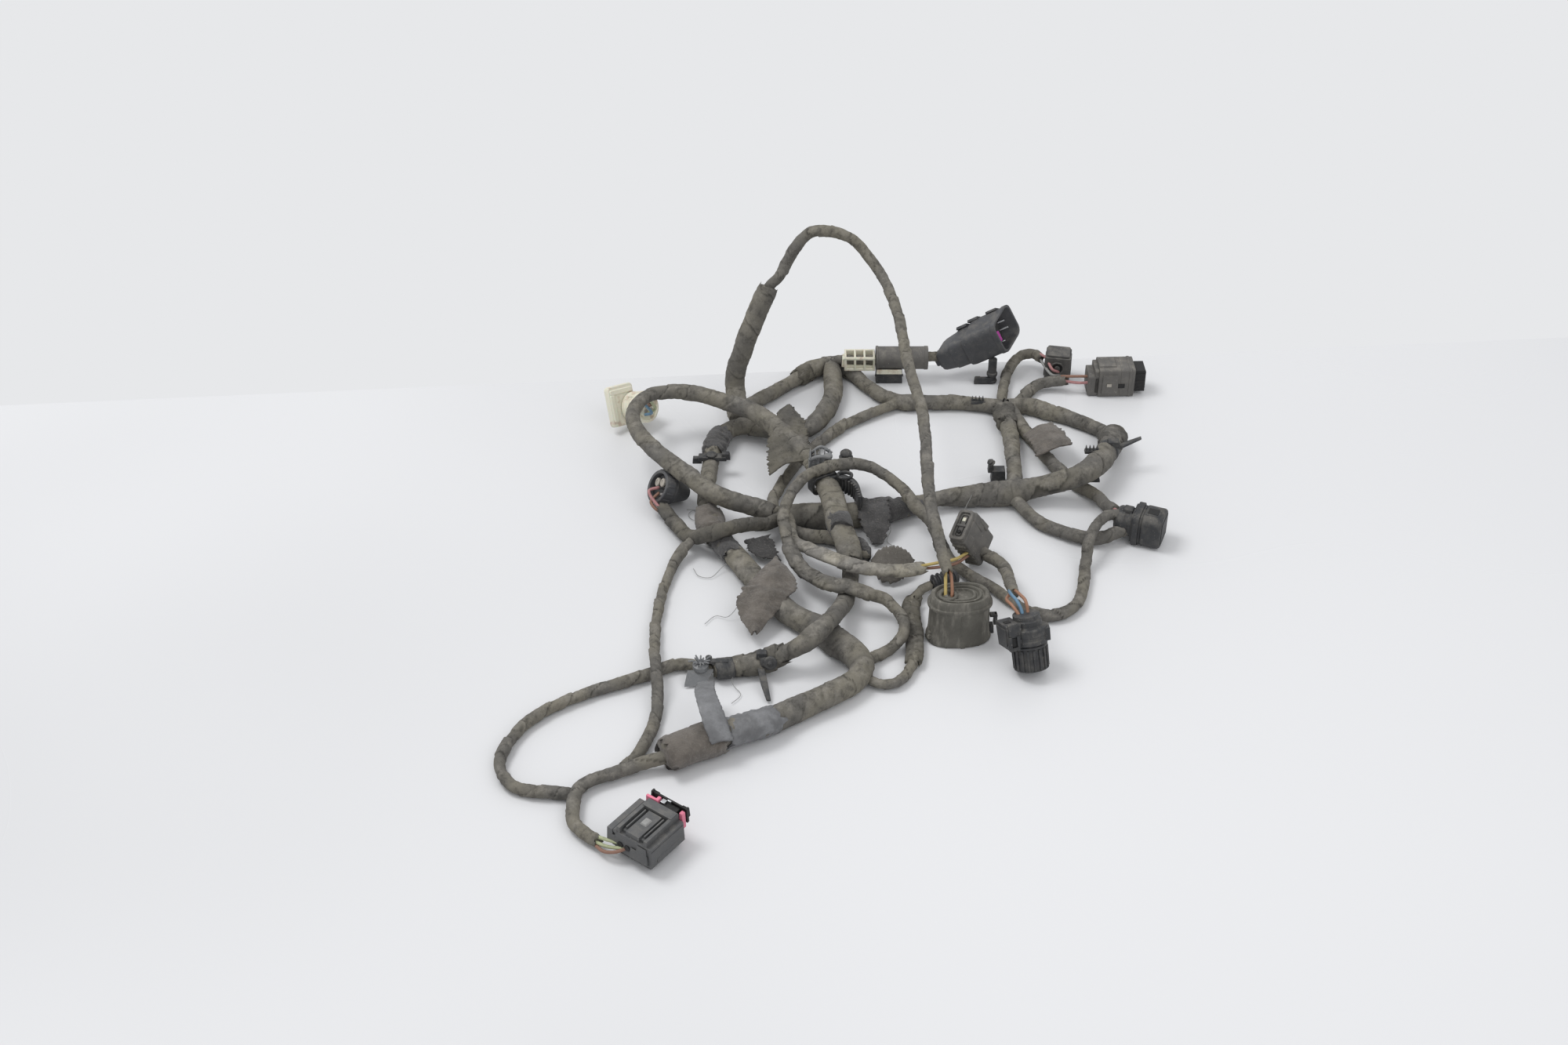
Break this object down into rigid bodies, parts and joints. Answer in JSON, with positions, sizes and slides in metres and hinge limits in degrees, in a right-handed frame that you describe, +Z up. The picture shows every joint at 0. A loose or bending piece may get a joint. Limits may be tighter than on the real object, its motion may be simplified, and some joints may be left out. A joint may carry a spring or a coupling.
{
  "type": "wiring harness",
  "caption": "Used vehicle wiring harness lying loose: taped cable branches with sealed plastic connectors, one branch standing up as an arch, felt wraps, clips and ties.",
  "frame": {"origin": "centre of the outline's box on the floor that the harness lies on", "axes": "+Z up from the floor, +Y to the back where the arch stands, +X to the right"},
  "size_m": [0.328, 0.3952, 0.1017],
  "materials": {
    "cloth_tape": "matt, dusty",
    "felt": "matt, frayed",
    "black_plastic": "satin, dusty",
    "grey_plastic": "satin, dusty",
    "boot_rubber": "matt, dusty",
    "cream_plastic": "satin, stained",
    "pink_plastic": "satin",
    "magenta_seal": "matt",
    "clear_tape": "dull gloss"
  },
  "bodies": {
    "root": {"main_trunk": "cloth_tape", "arch": "cloth_tape", "upper_loop": "cloth_tape", "flat_run": "cloth_tape", "tape_run": "cloth_tape", "front_loop": "cloth_tape", "front_lead": "cloth_tape", "left_drop": "cloth_tape", "cross_run": "cloth_tape", "rear_run": "cloth_tape", "right_trunk": "cloth_tape", "diagonal_link": "cloth_tape", "short_link": "cloth_tape", "outer_link": "cloth_tape", "inner_link": "cloth_tape", "long_lead": "cloth_tape", "under_branch": "cloth_tape", "yellow_lead": "cloth_tape", "short_stub": "cloth_tape", "corner_lead": "cloth_tape", "back_lead_a": "cloth_tape", "back_lead_b": "cloth_tape", "socket_lead": "cloth_tape", "front_housing": "black_plastic", "front_latch_bar": "black_plastic", "front_lock": "pink_plastic", "cream_flange": "cream_plastic", "cream_cap": "cream_plastic", "oval_housing": "black_plastic", "oval_seal_insert": "grey_plastic", "boot_shell": "boot_rubber", "boot_insert": "black_plastic", "round_housing": "black_plastic", "round_ribbed_ring": "black_plastic", "right_housing": "black_plastic", "rear_right_housing": "grey_plastic", "rear_right_core": "black_plastic", "rear_middle_housing": "grey_plastic", "plug_housing": "black_plastic", "plug_seal": "magenta_seal", "plug_foot_clip": "black_plastic", "slab_housing": "grey_plastic", "rear_sleeve": "grey_plastic", "cream_socket_base": "cream_plastic", "felt_sleeve": "felt", "grey_tape": "clear_tape", "grey_loop_strap": "clear_tape", "trunk_felt_flag": "felt", "upper_tape_flag": "cloth_tape", "frayed_flag": "felt", "side_felt_flag": "felt", "front_clip": "black_plastic", "front_tie": "black_plastic", "link_clip": "black_plastic", "corner_tie": "black_plastic", "fir_tree_clip": "black_plastic", "comb_clip": "black_plastic", "edge_strap": "black_plastic", "ribbed_boot": "black_plastic"}
  },
  "joints": []
}
